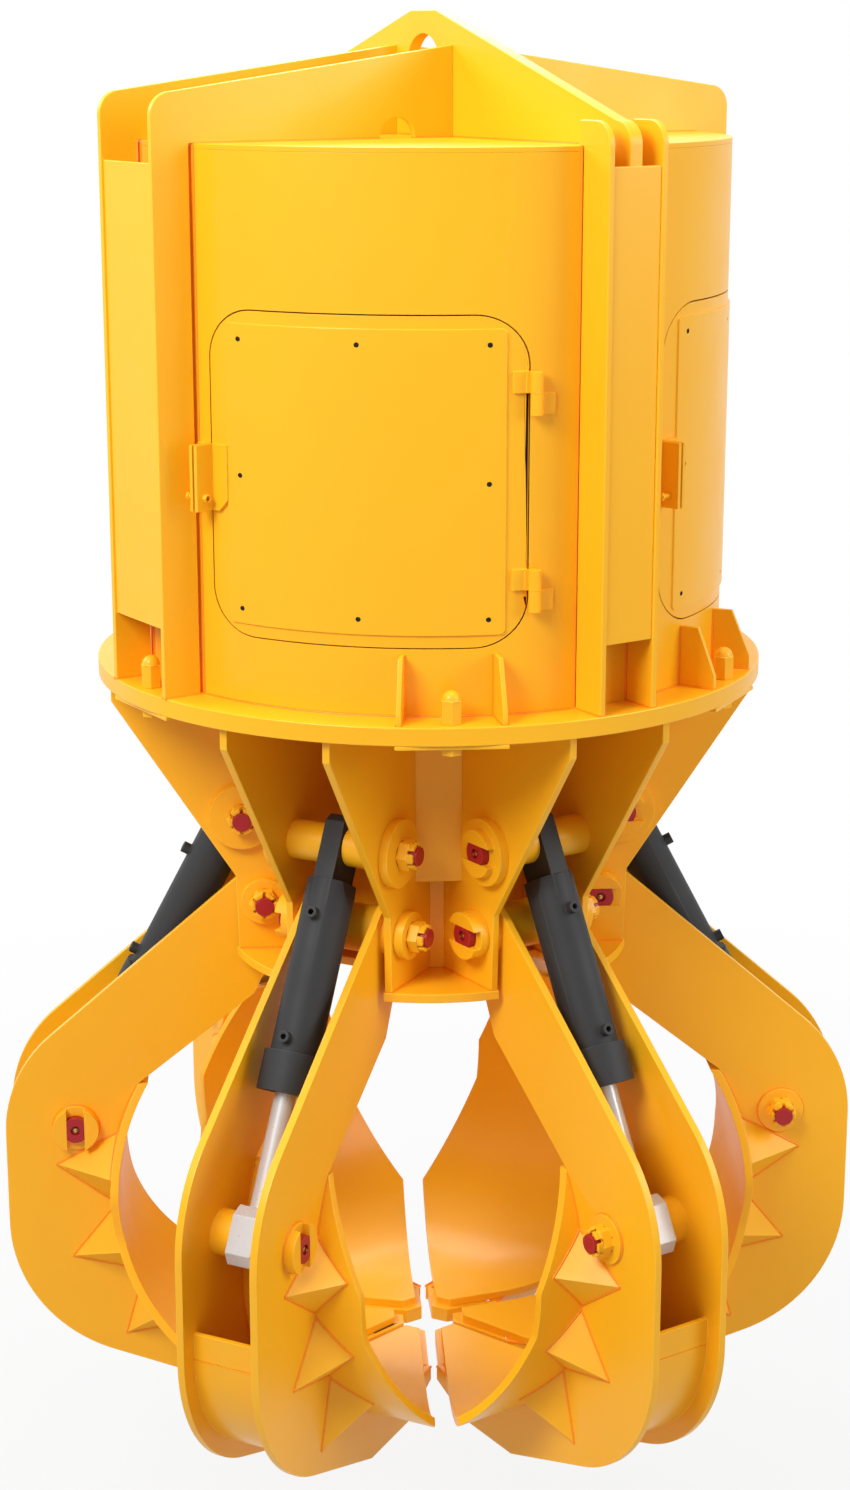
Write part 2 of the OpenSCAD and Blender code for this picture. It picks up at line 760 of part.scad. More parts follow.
// Flange bolt with its head under the pad, a plain nut and a domed nut
module flange_bolts() {
    flat = 3 * flange_bolt_r;
    corner = flat / 2 / cos(half_sector);
    head_h = 1.25 * flange_bolt_r;
    plain_h = 1.6 * flange_bolt_r;
    dome_h = 2.2 * flange_bolt_r;
    head_top = flange_foot - pad_t;
    color(paint) each_gap() translate([bolt_circle_r, 0, 0]) {
        translate([0, 0, head_top - head_h]) cylinder(r = corner, h = head_h, $fn = 6);
        translate([0, 0, head_top]) cylinder(r = flange_bolt_r, h = flange_top - head_top + plain_h);
        translate([0, 0, flange_top]) cylinder(r = corner, h = plain_h + dome_h, $fn = 6);
        translate([0, 0, flange_top + plain_h + dome_h]) intersection() {
            sphere(r = flat / 2);
            cylinder(r = flat, h = flat);
        }
    }
}

module hub_core() {
    color(paint) ring(core_r, core_r - core_t, hub_foot, flange_foot);
}

// Floor plate, notched behind each claw
module hub_floor() {
    color(paint) translate([0, 0, hub_foot - hub_floor_t]) difference() {
        cylinder(r = hub_floor_r, h = hub_floor_t, $fn = 128);
        each_claw() translate([floor_notch_reach, -bracket_inner, -over])
            cube([hub_floor_r, 2 * bracket_inner, hub_floor_t + 2 * over]);
    }
}

module bracket_profile() {
    end_z = flange_foot - bracket_end_h;
    waist_z = flange_top - waist_drop;
    difference() {
        polygon([
            [0, flange_foot], [bracket_reach, flange_foot], [bracket_reach, end_z], [waist_reach, waist_z],
            [bracket_foot_reach, hub_foot], [0, hub_foot]
        ]);
        translate(cylinder_pin) circle(pin_r + set_play);
        translate(hinge_pin) circle(pin_r + set_play);
    }
}

// Wedge of one claw's sector, seen from above
module sector_wedge(grow) {
    l = flange_r + over;
    polygon([[grow, 0], [l, (l - grow) * wing_slope], [l, -(l - grow) * wing_slope]]);
}

// Two bracket plates per claw, trimmed where neighbours meet at the core
module hub_brackets() {
    color(paint) each_claw() difference() {
        intersection() {
            for (side = [-1, 1]) upright(side * bracket_offset, bracket_t) bracket_profile();
            translate([0, 0, hub_foot - over]) linear_extrude(hub_drop + over) sector_wedge(side_play);
        }
        translate([0, 0, hub_foot - over]) cylinder(r = core_r, h = hub_drop + over, $fn = 128);
    }
}

// Half width of the space between neighbouring brackets at a reach along the gap
function gap_half(reach) = reach * wing_slope - bracket_outer / cos(half_sector);

// Upright plate that closes the gap between neighbouring brackets at a reach
module gap_plate(reach, drop) {
    back = reach - web_t;
    translate([0, 0, flange_top - drop]) linear_extrude(drop - flange_t) polygon([
        [back, -gap_half(back)], [reach, -gap_half(reach)], [reach, gap_half(reach)], [back, gap_half(back)]
    ]);
}

// Web plates, the narrow core plates and the pads that the flange bolts clamp
module hub_webs() {
    pad_root = (pad_half + bracket_outer / cos(half_sector)) / wing_slope;
    pad_reach = flange_r - pad_inset;
    color(paint) each_gap() {
        gap_plate(web_reach, web_drop);
        gap_plate(strip_reach, hub_drop);
        translate([0, 0, flange_foot - pad_t]) linear_extrude(pad_t - face_play) difference() {
            translate([pad_root, -pad_half]) square([pad_reach - pad_root, 2 * pad_half]);
            translate([bolt_circle_r, 0]) circle(flange_bolt_r + set_play);
        }
    }
}

// Linkage pin along the tangent: keyed end with a nipple seat at the start, thread at the other end
module linkage_pin(at, start, shank_end, turn, reverse) {
    thread_end = shank_end + nut_h + crown_h + thread_out;
    mirror([0, reverse ? 1 : 0, 0]) difference() {
        union() {
            cross_bar(pin_r, at, start + keeper_t, shank_end);
            intersection() {
                cross_bar(pin_r, at, start, start + keeper_t + over);
                translate([at[0], start - over, at[1]]) rotate([0, turn, 0])
                    translate([-pin_flat / 2, 0, -pin_r]) cube([pin_flat, keeper_t + 3 * over, 2 * pin_r]);
            }
            cross_bar(thread_r, at, shank_end - over, thread_end);
        }
        cross_bar(nipple_seat_r, at, start - over, start + nipple_seat_depth);
    }
}

// Round collar with a slot that holds a pin's keyed end
module keeper(at, r, start, turn, reverse) {
    mirror([0, reverse ? 1 : 0, 0]) difference() {
        cross_bar(r, at, start, start + keeper_t);
        translate([at[0], start - over, at[1]]) rotate([0, turn, 0])
            translate([-pin_flat / 2 - set_play, 0, -r - over])
                cube([pin_flat + 2 * set_play, keeper_t + 2 * over, 2 * (r + over)]);
    }
}

// Castle nut: a hexagon and a slotted crown
module castle_nut(at, start, reverse) {
    top = start + nut_h + crown_h;
    mirror([0, reverse ? 1 : 0, 0]) difference() {
        union() {
            cross_hex(nut_flat, at, start, start + nut_h);
            cross_bar(nut_flat / 2 - side_play, at, start + nut_h, top);
        }
        cross_bar(thread_r + set_play, at, start - over, top + over);
        for (turn = [0 : sector : 2 * sector])
            translate([at[0], start + nut_h, at[1]]) rotate([0, turn, 0])
                translate([-crown_slot / 2, 0, -nut_flat]) cube([crown_slot, crown_h + over, 2 * nut_flat]);
    }
}

hub_stack = bracket_outer + hub_boss_t;

module cylinder_pins() {
    color(red) each_claw() linkage_pin(cylinder_pin, -hub_stack - keeper_t, hub_stack, quarter, false);
}

module hinge_pins() {
    color(red) each_claw() linkage_pin(hinge_pin, -hub_stack - keeper_t, hub_stack, quarter, false);
}

// Round bosses on the brackets and the slotted collars on the keyed side
module pin_bosses() {
    color(paint) each_claw() for (spot = [[cylinder_pin, upper_boss_r], [hinge_pin, lower_boss_r]]) {
        difference() {
            for (y = [-hub_stack, bracket_outer]) cross_bar(spot[1], spot[0], y, y + hub_boss_t);
            cross_bar(pin_r + set_play, spot[0], -hub_stack - over, hub_stack + over);
        }
        keeper(spot[0], lower_boss_r, -hub_stack - keeper_t, quarter, false);
    }
}

module pin_nuts() {
    color(paint) each_claw() for (spot = [cylinder_pin, hinge_pin]) castle_nut(spot, hub_stack, false);
}

// Pair of tubes that centre an eye on its pin
module spacer_pair(at, r, inner, outer) {
    difference() {
        for (y = [-outer, inner]) cross_bar(r, at, y, y + outer - inner);
        cross_bar(pin_r + set_play, at, -outer - over, outer + over);
    }
}

module cylinder_spacers() {
    color(paint) each_claw()
        spacer_pair(cylinder_pin, hub_spacer_r, tongue_half + side_play, bracket_inner);
}

// Side plate of a claw: hinge end, arm, shoulder and heel, with the grab space cut out
module cheek_profile() {
    outer_turn = atan2(shoulder_c[1] - hinge_pin[1], shoulder_c[0] - hinge_pin[0])
        + acos((claw_end_r - shoulder_r) / norm(shoulder_c - hinge_pin));
    outer_dir = [cos(outer_turn), sin(outer_turn)];
    inner_from = tangent_point(hinge_pin, claw_end_r, inner_bend, -1);
    toe_z = rise_z(tip_back_reach, shell_t + tip_t);
    difference() {
        union() {
            translate(hinge_pin) circle(claw_end_r);
            translate(shoulder_c) circle(shoulder_r, $fn = 128);
            translate(heel_c) circle(heel_r, $fn = 128);
            polygon([
                inner_from, hinge_pin + claw_end_r * outer_dir, shoulder_c + shoulder_r * outer_dir,
                shoulder_c + [shoulder_r, 0], heel_c + [heel_r, 0], heel_run_out, heel_low,
                [toe_reach, heel_low[1]], [tip_back_reach, toe_z], [tip_back_reach, shell_floor],
                [shell_c[0], shell_floor], shell_top_out, inner_bend
            ]);
        }
        difference() {
            union() {
                translate(shell_c) circle(shell_out_r, $fn = 128);
                translate(shell_c) rotate(-tip_rise) translate([-deep, -shell_out_r])
                    square([deep, shell_out_r + deep]);
            }
            polygon([
                inner_bend - [deep, 0], inner_bend, shell_top_out,
                shell_top_out + [deep, 0], shell_top_out + [deep, deep], [-deep, shell_top_out[1] + deep]
            ]);
        }
        translate(hinge_pin) circle(pin_r + run_play);
        translate(rod_pin) circle(pin_r + set_play);
    }
}

// Back plate between the side plates, set in from their outer edges
module back_profile() {
    r = heel_r - back_inset;
    lip = r - back_t;
    out = [cos(heel_angle), -sin(heel_angle)];
    run_out = heel_c + r * out;
    low = [heel_reach, run_out[1] - (run_out[0] - heel_reach) / tan(heel_angle)];
    top_z = flange_top - back_top_drop;
    difference() {
        translate(heel_c) circle(r, $fn = 128);
        translate(heel_c) circle(lip, $fn = 128);
        translate(heel_c) polygon([[0, 0], deep * out, [-deep, -deep], [-deep, deep], [0, deep]]);
        translate([-deep, heel_c[1]]) square([2 * deep, deep]);
    }
    translate([heel_c[0] + lip, heel_c[1] - over]) square([back_t, top_z - heel_c[1] + over]);
    polygon([
        run_out, heel_c + lip * out, low + [0, back_t],
        [toe_reach, low[1] + back_t], [toe_reach, low[1]], low
    ]);
}

// Folded gusset in the corner between side plate and wing, at an angle on the shell's curve.
// Its ridge runs from a point on the side plate to a point under the wing.
module claw_gusset(angle) {
    depth = shell_t + gusset_out;
    ridge_l = norm([depth, gusset_wing]);
    half_h = shell_out_r * tan(gusset_span / 2);
    fold = depth * gusset_wing / ridge_l;
    translate([shell_c[0], 0, shell_c[1]]) rotate([0, -angle, 0]) translate([shell_r, cheek_outer, 0])
        intersection() {
            translate([0, 0, -half_h]) cube([depth, gusset_wing, 2 * half_h]);
            translate([depth, 0, 0]) rotate([0, 0, atan2(depth, gusset_wing)])
                translate([0, ridge_l + over, 0]) rotate([quarter, 0, 0]) linear_extrude(ridge_l + 2 * over)
                    polygon([[0, 0], [-fold, half_h], [-fold, -half_h]]);
        }
}

// Welded frame of a claw: side plates, back plate, hinge tube, gussets, bosses, collar and nut
module claw_frame() {
    boss_end = cheek_outer + claw_boss_t;
    color(paint) {
        difference() {
            union() {
                for (side = [-1, 1]) upright(side * cheek_offset, cheek_t) cheek_profile();
                cross_bar(lower_boss_r, hinge_pin, -bracket_inner + side_play, bracket_inner - side_play);
                upright(0, 2 * cheek_inner) back_profile();
                for (y = [-boss_end, cheek_outer]) cross_bar(claw_boss_r, rod_pin, y, y + claw_boss_t);
            }
            cross_bar(pin_r + run_play, hinge_pin, -bracket_inner - over, bracket_inner + over);
            cross_bar(pin_r + set_play, rod_pin, -boss_end - over, boss_end + over);
        }
        difference() {
            for (side = [0, 1], i = [0 : gusset_count - 1])
                mirror([0, side, 0]) claw_gusset(gusset_start - (i + 0.5) * gusset_span);
            upright(0, 2 * deep) translate(shell_c) circle(shell_out_r, $fn = 128);
        }
        keeper(rod_pin, claw_boss_r, -boss_end - keeper_t, 0, true);
        castle_nut(rod_pin, boss_end, true);
        spacer_pair(rod_pin, claw_spacer_r, rod_block_half_t + side_play, cheek_inner);
    }
}

module claw_pin() {
    boss_end = cheek_outer + claw_boss_t;
    color(red) linkage_pin(rod_pin, -boss_end - keeper_t, boss_end, 0, true);
}

// Section of the shell in reach and height: a curve that runs out straight and rises to the tip
module shell_section() {
    difference() {
        translate(shell_c) rotate(-tip_rise) difference() {
            union() {
                circle(shell_out_r, $fn = 128);
                translate([-deep, -shell_out_r]) square([deep, shell_t]);
            }
            circle(shell_r, $fn = 128);
            translate([-deep, -shell_r]) square([deep, 2 * deep]);
        }
        translate([-deep, shell_top_z]) square([2 * deep, deep]);
    }
}

// Shell seen from outside: narrow top, full wings and a flare
module shell_front() {
    polygon(both_halves([
        [shell_top_half, shell_top_z], [wing_half, flange_top - wing_top_drop],
        [wing_half, flange_top - wing_flare_drop], [corner_half, corner_z], [corner_half, tip_floor - over]
    ]));
}

// Plan outline that tapers to the tip beside its neighbours
module taper(end, gap, l) {
    function half(reach) = reach * wing_slope - gap / cos(half_sector);
    polygon([[end, -half(end)], [l, -half(l)], [l, half(l)], [end, half(end)]]);
}

// Slab along the rising tip, between two reaches and two depths below the shell's inner face
module tip_slab(from, to, top, foot, gap) {
    intersection() {
        upright(0, 2 * deep) polygon([
            [from, rise_z(from, top)], [to, rise_z(to, top)],
            [to, rise_z(to, foot)], [from, rise_z(from, foot)]
        ]);
        translate([0, 0, shell_c[1] - deep]) linear_extrude(deep) taper(from, gap, to);
    }
}

// Concave shell of a claw with the thick tip block under it and the root that joins them
module claw_shell() {
    color(paint) {
        intersection() {
            upright(0, 2 * deep) shell_section();
            outward(deep) shell_front();
            translate([0, 0, tip_floor - over]) linear_extrude(deep)
                taper(shell_tip_reach, shell_half_gap, deep);
        }
        tip_slab(tip_reach, tip_back_reach, shell_t, shell_t + tip_t, tip_half_gap);
        tip_slab(shell_tip_reach + over, tip_back_reach - over, shell_t / 2, shell_t + tip_t / 2,
                 shell_half_gap + over);
    }
}

// Moves children from the cylinder's own frame, whose -Z runs from the upper pin to the rod pin
module along_cylinder() {
    translate([cylinder_pin[0], 0, cylinder_pin[1]]) rotate([0, -cylinder_tilt, 0]) children();
}

// Barrel with its flat eye, slanted shoulders, gland collar and two port stubs
module barrel() {
    foot = gland_start + gland_l;
    cap = shoulder_start + shoulder_l;
    bore_end = gland_start + gland_l / 2;
    side = barrel_r + over;
    side_start = shoulder_start + shoulder_l * (side - ledge_half) / (barrel_r - ledge_half);
    w = tongue_half_w;
    color(black) along_cylinder() difference() {
        union() {
            intersection() {
                translate([0, 0, -gland_start - over]) cylinder(r = barrel_r, h = gland_start);
                rotate([quarter, 0, quarter]) translate([0, 0, -side]) linear_extrude(2 * side) polygon([
                    [-ledge_half, -shoulder_start], [ledge_half, -shoulder_start], [side, -side_start],
                    [side, -foot], [-side, -foot], [-side, -side_start]
                ]);
            }
            translate([0, tongue_half, 0]) rotate([quarter, 0, 0]) linear_extrude(2 * tongue_half) polygon([
                [-w, -cap], [-w, tongue_end - tongue_chamfer], [tongue_chamfer - w, tongue_end],
                [w - tongue_chamfer, tongue_end], [w, tongue_end - tongue_chamfer], [w, -cap]
            ]);
            translate([0, 0, -foot]) cylinder(r = gland_r, h = gland_l);
            for (port = [first_port, second_port]) translate([0, 0, -port]) rotate([0, quarter, 0])
                cylinder(r = port_r, h = barrel_r + port_l);
        }
        cross_bar(pin_r + run_play, [0, 0], -tongue_half - over, tongue_half + over);
        translate([0, 0, -bore_end]) cylinder(r = barrel_bore_r, h = bore_end - cap);
        translate([0, 0, -foot - over]) cylinder(r = rod_r + slide_play, h = foot - bore_end + 2 * over);
        for (port = [first_port, second_port]) translate([barrel_bore_r - over, 0, -port])
            rotate([0, quarter, 0]) cylinder(r = port_hole_r, h = barrel_r);
    }
}

// Rod with its piston and the eight-sided block whose eye has play round the rod pin
module rod() {
    block_top = cylinder_l - rod_block_half;
    piston_foot = gland_start;
    block_c = rod_block_chamfer;
    w = rod_block_half_w;
    l = rod_block_half;
    color(chrome) along_cylinder() {
        translate([0, 0, -block_top]) cylinder(r = rod_r, h = block_top - piston_foot);
        translate([0, 0, -piston_foot]) cylinder(r = barrel_bore_r - slide_play, h = piston_l);
        translate([0, rod_block_half_t, -cylinder_l]) rotate([quarter, 0, 0])
            linear_extrude(2 * rod_block_half_t) difference() {
                polygon([
                    [block_c - w, -l], [w - block_c, -l], [w, block_c - l], [w, l - block_c],
                    [w - block_c, l], [block_c - w, l], [-w, l - block_c], [-w, block_c - l]
                ]);
                circle(pin_r + rod_eye_play);
            }
    }
}

// Vertical motor on its coupling housing
module motor() {
    foot = flange_top + tank_h;
    body = foot + coupling_h;
    color(grey) {
        translate([0, 0, foot]) cylinder(r = coupling_r, h = coupling_h);
        translate([0, 0, foot]) cylinder(r = motor_r, h = coupling_flange_t);
        translate([0, 0, body - coupling_flange_t])
            cylinder(r = motor_r + coupling_flange_t, h = 2 * coupling_flange_t);
        translate([0, 0, body]) cylinder(r = motor_r, h = motor_h);
    }
}

// Round oil tank on the flange disc, with the valve block beside the motor
module oil_tank() {
    top = flange_top + tank_h;
    color(grey) {
        translate([0, 0, flange_top]) cylinder(r = tank_r, h = tank_h, $fn = 128);
        at_azimuth(-half_sector) translate([valve_reach - valve_w / 2, -valve_w / 2, top - over])
            cube([valve_w, valve_w, valve_h + over]);
    }
}

lifting_plate();
main_fins();
cross_fins();
fin_closures();
drum_shell();
drum_lid();
flange_disc();
flange_gussets();
flange_bolts();
hub_core();
hub_floor();
hub_brackets();
hub_webs();
cylinder_pins();
hinge_pins();
pin_bosses();
pin_nuts();
cylinder_spacers();
door_brackets();
motor();
oil_tank();
for (i = [1 : claw_count]) at_azimuth((i - 1) * sector) {
    claw_frame();
    claw_shell();
    claw_pin();
    barrel();
    rod();
}
for (i = [1 : door_count]) at_azimuth(door_azimuth + (i - 1) * quarter) {
    door();
    latch_bolt();
}
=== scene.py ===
import json
import math

import bmesh
import bpy
from mathutils import Matrix, Vector

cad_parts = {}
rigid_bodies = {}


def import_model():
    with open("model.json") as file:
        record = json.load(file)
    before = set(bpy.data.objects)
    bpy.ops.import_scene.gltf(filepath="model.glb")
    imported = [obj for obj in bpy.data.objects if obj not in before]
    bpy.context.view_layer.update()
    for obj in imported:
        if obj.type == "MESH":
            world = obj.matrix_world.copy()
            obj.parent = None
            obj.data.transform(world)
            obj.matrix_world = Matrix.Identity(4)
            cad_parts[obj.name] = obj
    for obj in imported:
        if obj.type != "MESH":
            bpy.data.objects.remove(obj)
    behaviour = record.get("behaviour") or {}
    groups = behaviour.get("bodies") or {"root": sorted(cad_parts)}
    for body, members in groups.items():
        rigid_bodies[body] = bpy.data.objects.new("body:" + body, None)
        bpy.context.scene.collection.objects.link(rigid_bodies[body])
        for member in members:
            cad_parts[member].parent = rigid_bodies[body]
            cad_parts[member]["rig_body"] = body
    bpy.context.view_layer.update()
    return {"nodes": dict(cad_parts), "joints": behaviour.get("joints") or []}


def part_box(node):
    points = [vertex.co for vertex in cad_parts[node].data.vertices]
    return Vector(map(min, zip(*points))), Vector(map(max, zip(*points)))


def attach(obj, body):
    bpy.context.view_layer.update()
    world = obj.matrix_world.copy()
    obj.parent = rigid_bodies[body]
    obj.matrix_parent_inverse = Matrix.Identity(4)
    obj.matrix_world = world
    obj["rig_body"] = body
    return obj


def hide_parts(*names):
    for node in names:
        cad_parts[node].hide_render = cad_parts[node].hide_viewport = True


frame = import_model()

# The camera looks slightly down at the grab, about seven metres away, past the gap between two
# claws. Its place and focal length come from a fit of the flange disc, fins and pins.
picture_long_px = 1490
focal_px = 2641.3
camera_azimuth = math.radians(-33.62)
camera_elevation = math.radians(14.99)
camera_distance = 6.998
aim_height = -1.750
aim_side_step = 0.00914

camera_data = bpy.data.cameras.new("camera")
camera_data.sensor_width = 36.0
camera_data.lens = focal_px / picture_long_px * camera_data.sensor_width
camera_data.clip_end = 100.0
camera = bpy.data.objects.new("camera", camera_data)
bpy.context.scene.collection.objects.link(camera)
bpy.context.scene.camera = camera
to_camera = Vector(
    (
        math.sin(camera_azimuth) * math.cos(camera_elevation),
        -math.cos(camera_azimuth) * math.cos(camera_elevation),
        math.sin(camera_elevation),
    )
)
picture_right = Vector((math.cos(camera_azimuth), math.sin(camera_azimuth), 0.0))
aim = Vector((0.0, 0.0, aim_height)) - aim_side_step * picture_right
camera.location = aim + camera_distance * to_camera
camera.rotation_mode = "QUATERNION"
camera.rotation_quaternion = (-to_camera).to_track_quat("-Z", "Y")


class Value:
    """A shader socket that can stand in a sum or a product."""

    def __init__(self, finish, socket):
        self.finish, self.socket = finish, socket

    def maths(self, operation, first, second):
        return self.finish.node("ShaderNodeMath", {"operation": operation}, {0: first, 1: second})

    def __add__(self, other):
        return self.maths("ADD", self, other)

    def __sub__(self, other):
        return self.maths("SUBTRACT", self, other)

    def __rsub__(self, other):
        return self.maths("SUBTRACT", other, self)

    def __mul__(self, other):
        return self.maths("MULTIPLY", self, other)

    __radd__ = __add__
    __rmul__ = __mul__


class Finish:
    """A material whose nodes are added by calls, with a Principled shader at its end."""

    def __init__(self, name):
        self.material = bpy.data.materials.new(name)
        self.material.use_nodes = True
        self.tree = self.material.node_tree
        self.shader = self.tree.nodes["Principled BSDF"]

    def fill(self, socket, value):
        if isinstance(value, Value):
            self.tree.links.new(value.socket, socket)
        else:
            socket.default_value = value

    def node(self, kind, settings=(), sockets=(), output=0):
        made = self.tree.nodes.new(kind)
        for name, value in dict(settings).items():
            if name == "stops":
                ramp = made.color_ramp.elements
                while len(ramp) < len(value):
                    ramp.new(0.5)
                for element, (position, level) in zip(ramp, value):
                    element.position = position
                    element.color = (level, level, level, 1.0)
            else:
                setattr(made, name, value)
        for key, value in dict(sockets).items():
            self.fill(made.inputs[key], value)
        return Value(self, made.outputs[output])

    def noise(self, place, scale, detail=2.0):
        return self.node("ShaderNodeTexNoise", {}, {"Vector": place, "Scale": scale, "Detail": detail}, "Fac")

    def ramp(self, value, *stops):
        return self.node("ShaderNodeValToRGB", {"stops": stops}, {"Fac": value})

    def mix(self, factor, first, second):
        return self.node("ShaderNodeMix", {"data_type": "RGBA"}, {0: factor, 6: first, 7: second}, 2)

    def set(self, **sockets):
        for name, value in sockets.items():
            self.fill(self.shader.inputs[name.replace("_", " ").title()], value)


# The stage is a white floor some way under the hanging grab and a white world, as in a studio
# cutout. Both are plain white to the camera and in reflections, and the floor turns wholly white
# away from the grab's soft shadow, so that no horizon shows.
floor_height = -4.15
floor_half = 30.0
shadow_share = 0.13
shadow_reach = 6.0
world_light = 0.33

floor_mesh = bmesh.new()
bmesh.ops.create_grid(floor_mesh, x_segments=1, y_segments=1, size=floor_half)
bmesh.ops.translate(floor_mesh, verts=floor_mesh.verts, vec=(0.0, 0.0, floor_height))
floor_data = bpy.data.meshes.new("floor")
floor_mesh.to_mesh(floor_data)
floor_mesh.free()
floor = bpy.data.objects.new("floor", floor_data)
bpy.context.scene.collection.objects.link(floor)
floor_finish = Finish("white_floor")
floor_finish.set(base_color=(0.5, 0.5, 0.5, 1.0), roughness=0.9)
seen = floor_finish.node("ShaderNodeLightPath", output="Is Camera Ray") + floor_finish.node(
    "ShaderNodeLightPath", output="Is Glossy Ray"
)
floor_place = floor_finish.node("ShaderNodeTexCoord", output="Object")
from_middle = floor_finish.node(
    "ShaderNodeVectorMath", {"operation": "DISTANCE"}, {0: floor_place, 1: (0.0, 0.0, floor_height)}, "Value"
)
shadowed = floor_finish.ramp(from_middle * (1.0 / shadow_reach), (0.15, shadow_share), (1.0, 0.0))
glow = floor_finish.node("ShaderNodeEmission", {}, {"Color": (1.0, 1.0, 1.0, 1.0), "Strength": 1.0})
surface = Value(floor_finish, floor_finish.shader.outputs[0])
glow_share = floor_finish.node("ShaderNodeClamp", {}, {0: seen * (1.0 - shadowed)})
floor_mix = floor_finish.node("ShaderNodeMixShader", {}, {0: glow_share, 1: surface, 2: glow})
floor_finish.tree.links.new(floor_mix.socket, floor_finish.tree.nodes["Material Output"].inputs["Surface"])
floor_data.materials.append(floor_finish.material)

world = bpy.data.worlds.new("studio")
bpy.context.scene.world = world
world.use_nodes = True
world_tree = world.node_tree
lit = world_tree.nodes["Background"]
lit.inputs["Color"].default_value = (1.0, 1.0, 1.0, 1.0)
lit.inputs["Strength"].default_value = world_light
shown = world_tree.nodes.new("ShaderNodeBackground")
shown.inputs["Color"].default_value = (1.0, 1.0, 1.0, 1.0)
shown.inputs["Strength"].default_value = 1.0
path = world_tree.nodes.new("ShaderNodeLightPath")
either = world_tree.nodes.new("ShaderNodeMath")
either.operation = "MAXIMUM"
world_tree.links.new(path.outputs["Is Camera Ray"], either.inputs[0])
world_tree.links.new(path.outputs["Is Glossy Ray"], either.inputs[1])
world_mix = world_tree.nodes.new("ShaderNodeMixShader")
world_tree.links.new(either.outputs[0], world_mix.inputs[0])
world_tree.links.new(lit.outputs[0], world_mix.inputs[1])
world_tree.links.new(shown.outputs[0], world_mix.inputs[2])
world_tree.links.new(world_mix.outputs[0], world_tree.nodes["World Output"].inputs["Surface"])

for lamp_name, azimuth, height, reach, size, watts in (
    ("key", -70, 3.0, 6.0, 3.0, 410),
    ("fill", 35, 1.2, 7.0, 3.5, 230),
    ("back", 150, 3.5, 6.0, 3.0, 150),
    ("rim", -140, 2.5, 6.0, 2.5, 170),
    ("top", 0, 5.0, 0.4, 3.0, 230),
):
    lamp_data = bpy.data.lights.new(lamp_name, "AREA")
    lamp_data.size = size
    lamp_data.energy = watts
    lamp = bpy.data.objects.new(lamp_name, lamp_data)
    bpy.context.scene.collection.objects.link(lamp)
    turn = math.radians(azimuth)
    lamp.location = (reach * math.sin(turn), -reach * math.cos(turn), height)
    lamp.rotation_mode = "QUATERNION"
    lamp.rotation_quaternion = (Vector((0.0, 0.0, -1.5)) - lamp.location).to_track_quat("-Z", "Y")

bpy.context.scene.view_settings.view_transform = "Standard"


# The steelwork is cut plate, ground along its edges and sprayed with one coat of satin yellow.
# The paint varies a little in depth and has a fine orange-peel skin. Its bevelled edges are
# painted lighter, partly as paint worn thin there and partly as a painted highlight.
def sprayed(name, thin, deep, roughness, peel_depth, coat=0.12):
    finish = Finish(name)
    place = finish.node("ShaderNodeTexCoord", output="Object")
    broad = finish.ramp(finish.noise(place, 1.4, 4.0), (0.35, 0.0), (0.70, 1.0))
    mottle = finish.ramp(finish.noise(place, 9.0, 5.0), (0.30, 0.0), (0.75, 1.0))
    edge = finish.node("ShaderNodeAttribute", {"attribute_name": "edge"}, output="Fac")
    depth = broad * 0.35 + mottle * 0.15
    body = finish.mix(depth, thin, deep)
    # Bevel faces get a lighter colour: partly worn thin paint, partly a painted highlight on the edges.
    edge_highlight_and_wear = tuple(min(1.0, level * 1.10 + 0.02) for level in thin[:3]) + (1.0,)
    finish.set(base_color=finish.mix(edge * 0.55, body, edge_highlight_and_wear))
    peel = finish.noise(place, 230.0, 2.0)
    finish.set(roughness=roughness + 0.10 * mottle - 0.05 * peel)
    finish.set(
        normal=finish.node("ShaderNodeBump", {}, {"Strength": 0.35, "Distance": peel_depth, "Height": peel}),
        coat_weight=coat,
    )
    finish.shader.inputs["Coat Roughness"].default_value = 0.15
    finish.shader.inputs["Specular IOR Level"].default_value = 0.30
    return finish.material


